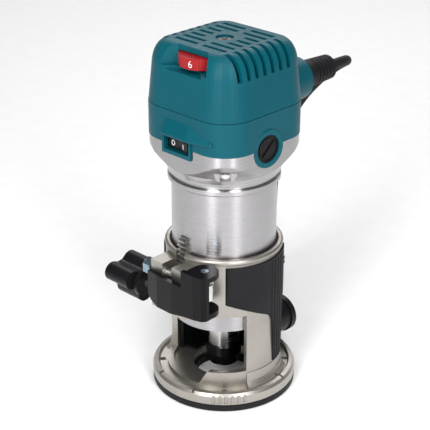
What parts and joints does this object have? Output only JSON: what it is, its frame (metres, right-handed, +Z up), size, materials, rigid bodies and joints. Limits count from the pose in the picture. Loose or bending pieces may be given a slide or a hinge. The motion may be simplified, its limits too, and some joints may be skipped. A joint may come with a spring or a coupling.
{
  "type": "trim router",
  "caption": "Compact trim router: cylindrical motor with a square plastic head, clamped in a cast base by a cam lever and set for depth by a rack and pinion.",
  "frame": {"origin": "centre of the base plate's opening, on the plate's underside, which is also on the spindle's axis", "axes": "+Z up along the spindle, -Y to the front with the switch and the clamp, +Y to the back with the cord and the dust outlet, +X to the right"},
  "size_m": [0.2159, 0.2293, 0.229],
  "materials": {
    "cast_base": "cast and satin",
    "base_plate": "matte",
    "screw_steel": "machined",
    "grip_rubber": "ribbed rubber",
    "zinc_steel": "blue-white zinc",
    "lever_plastic": "glossy",
    "gear_steel": "machined",
    "black_plastic": "satin",
    "motor_housing": "turned and polished",
    "label": "printed label",
    "teal_plastic": "moulded, satin",
    "top_screw": "aged steel",
    "carbon": "carbon",
    "copper_alloy": "plain",
    "spring_steel": "wire",
    "laminations": "laminated",
    "windings": "enamelled wire",
    "bright_steel": "polished",
    "fan_plastic": "plain",
    "collet_steel": "hardened",
    "black_steel": "blackened",
    "dial_red": "moulded, satin",
    "circuit_board": "circuit board",
    "switch_plastic": "satin",
    "cord_sheath": "matte cable sheath",
    "strap": "matte strap",
    "plug_pins": "plated"
  },
  "bodies": {
    "base": {"base_casting": "cast_base", "base_plate": "base_plate", "plate_screws": "screw_steel", "grip_left": "grip_rubber", "grip_right": "grip_rubber", "clamp_bolt": "screw_steel", "clamp_nut": "zinc_steel", "clamp_washer": "zinc_steel", "lever_pin": "zinc_steel", "dust_nozzle": "black_plastic", "cord_run": "cord_sheath", "cord_hank": "cord_sheath", "cord_tie": "strap", "plug_body": "cord_sheath", "plug_pins": "plug_pins"},
    "lever": {"clamp_lever": "lever_plastic"},
    "knob": {"height_knob": "black_plastic", "pinion_shaft": "gear_steel"},
    "hose_screw": {"nozzle_screw": "black_plastic"},
    "motor": {"motor_housing": "motor_housing", "depth_rack": "gear_steel", "rating_label": "label", "bearing_cover": "black_plastic", "cover_screws": "screw_steel", "brush_housing": "teal_plastic", "top_cover": "teal_plastic", "top_screw": "top_screw", "housing_screws": "screw_steel", "brush_caps": "black_plastic", "carbon_brushes": "carbon", "brush_holders": "copper_alloy", "brush_springs": "spring_steel", "field_core": "laminations", "field_coils": "windings", "lower_bearing": "bright_steel", "upper_bearing": "bright_steel", "bearing_bracket": "black_plastic", "air_baffle": "black_plastic", "speed_board": "circuit_board", "switch_body": "switch_plastic", "cord_clamp": "black_plastic", "cord_guard": "grip_rubber"},
    "armature": {"spindle": "bright_steel", "armature_core": "laminations", "commutator": "copper_alloy", "fan": "fan_plastic", "collet": "collet_steel", "collet_nut": "black_steel"},
    "dial": {"speed_dial": "dial_red"},
    "rocker": {"switch_rocker": "switch_plastic"}
  },
  "joints": [
    {"name": "motor_slide", "type": "slide", "parent": "base", "child": "motor", "axis": [0, 0, 1], "range_m": [-0.018, 0.01]},
    {"name": "height_knob", "type": "hinge", "parent": "base", "child": "knob", "pos_m": [0, -0.04, 0.072], "axis": [1, 0, 0], "range_deg": [-240, 130]},
    {"name": "clamp_lever", "type": "hinge", "parent": "base", "child": "lever", "pos_m": [0.026, -0.0434, 0.087], "axis": [0, 0, 1], "range_deg": [0, 100]},
    {"name": "nozzle_screw", "type": "hinge", "parent": "base", "child": "hose_screw", "pos_m": [0, 0.04, 0.068], "axis": [0, 1, 0], "continuous": true},
    {"name": "spindle_turn", "type": "hinge", "parent": "motor", "child": "armature", "pos_m": [0, 0, 0.1], "axis": [0, 0, 1], "continuous": true},
    {"name": "speed_dial", "type": "hinge", "parent": "motor", "child": "dial", "pos_m": [0.002, -0.02, 0.2213], "axis": [0, 0, 1], "range_deg": [-200, 60]},
    {"name": "power_switch", "type": "hinge", "parent": "motor", "child": "rocker", "pos_m": [-0.0018, -0.0335, 0.171], "axis": [0, 0, 1], "range_deg": [0, 12]}
  ],
  "couplings": [
    {"joint": "height_knob", "follows": "motor_slide", "rad_per_m": 200}
  ]
}
